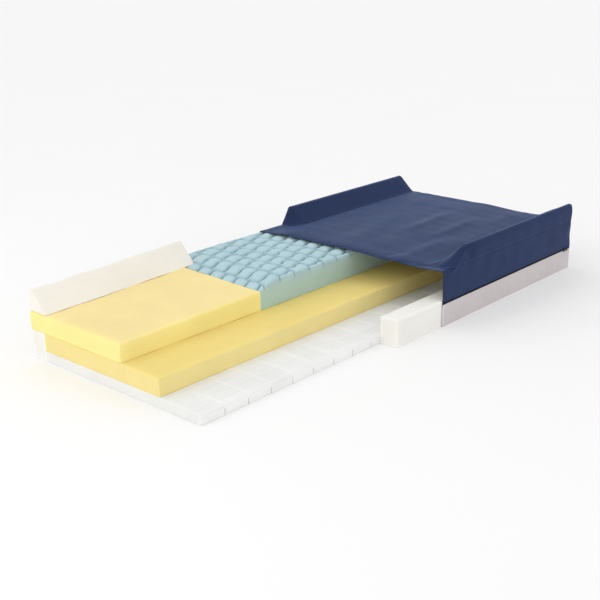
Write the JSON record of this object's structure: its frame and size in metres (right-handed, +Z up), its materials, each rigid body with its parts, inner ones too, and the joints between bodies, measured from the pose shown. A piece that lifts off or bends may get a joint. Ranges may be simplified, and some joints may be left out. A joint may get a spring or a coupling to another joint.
{
  "type": "pressure relief mattress",
  "caption": "Layered foam hospital mattress shown as a cut-away sample, with edge bolsters, a zipped top and bottom cover and a folding backrest end.",
  "frame": {"origin": "on the floor under the middle of the mattress", "axes": "+X along the mattress to the head end, +Y to the far long side, +Z up"},
  "size_m": [2, 0.8872, 0.2647],
  "materials": {
    "base_foam": "matt white polyurethane foam",
    "mid_foam": "matt yellow polyurethane foam",
    "heel_foam": "matt pale yellow viscoelastic foam",
    "torso_foam": "matt pale aqua castellated foam",
    "wall_foam": "matt white firm foam",
    "bolster_foam": "matt warm white foam",
    "top_cover": "satin navy polyurethane coated stretch fabric",
    "bottom_cover": "matt mauve grey coated woven fabric",
    "zip_tape": "matt near-black woven tape",
    "zip_coil": "satin near-black nylon coil",
    "zip_metal": "satin black enamelled zinc"
  },
  "bodies": {
    "seat": {"base_foam_seat": "base_foam", "mid_foam_seat": "mid_foam", "heel_foam": "heel_foam", "torso_foam_seat": "torso_foam", "far_side_wall_seat": "wall_foam", "near_side_wall_seat": "wall_foam", "foot_bolster": "bolster_foam", "top_cover_seat": "top_cover", "bottom_cover_seat": "bottom_cover", "zip_tape_upper_seat_near": "zip_tape", "zip_tape_upper_seat_far": "zip_tape", "zip_tape_lower_seat_near": "zip_tape", "zip_tape_lower_seat_far": "zip_tape", "zip_coil_seat_near": "zip_coil", "zip_coil_seat_far": "zip_coil"},
    "backrest": {"base_foam_back": "base_foam", "mid_foam_back": "mid_foam", "torso_foam_back": "torso_foam", "far_side_wall_back": "wall_foam", "near_side_wall_back": "wall_foam", "head_bolster_far": "bolster_foam", "head_bolster_near": "bolster_foam", "top_cover_back": "top_cover", "bottom_cover_back": "bottom_cover", "zip_tape_upper_back": "zip_tape", "zip_tape_lower_back": "zip_tape", "zip_coil_back": "zip_coil", "zip_stop": "zip_metal"},
    "slider": {"zip_slider": "zip_metal"},
    "pull": {"zip_pull": "zip_metal"}
  },
  "joints": [
    {"name": "backrest_fold", "type": "hinge", "parent": "seat", "child": "backrest", "pos_m": [0.161, 0, 0.1976], "axis": [0, -1, 0], "range_deg": [0, 65]},
    {"name": "zip_slide", "type": "slide", "parent": "backrest", "child": "slider", "axis": [-1, 0, 0], "range_m": [0, 0.68]},
    {"name": "pull_swing", "type": "hinge", "parent": "slider", "child": "pull", "pos_m": [0.96, -0.44495, 0.083], "axis": [0, 0, 1], "range_deg": [0, 170]}
  ]
}
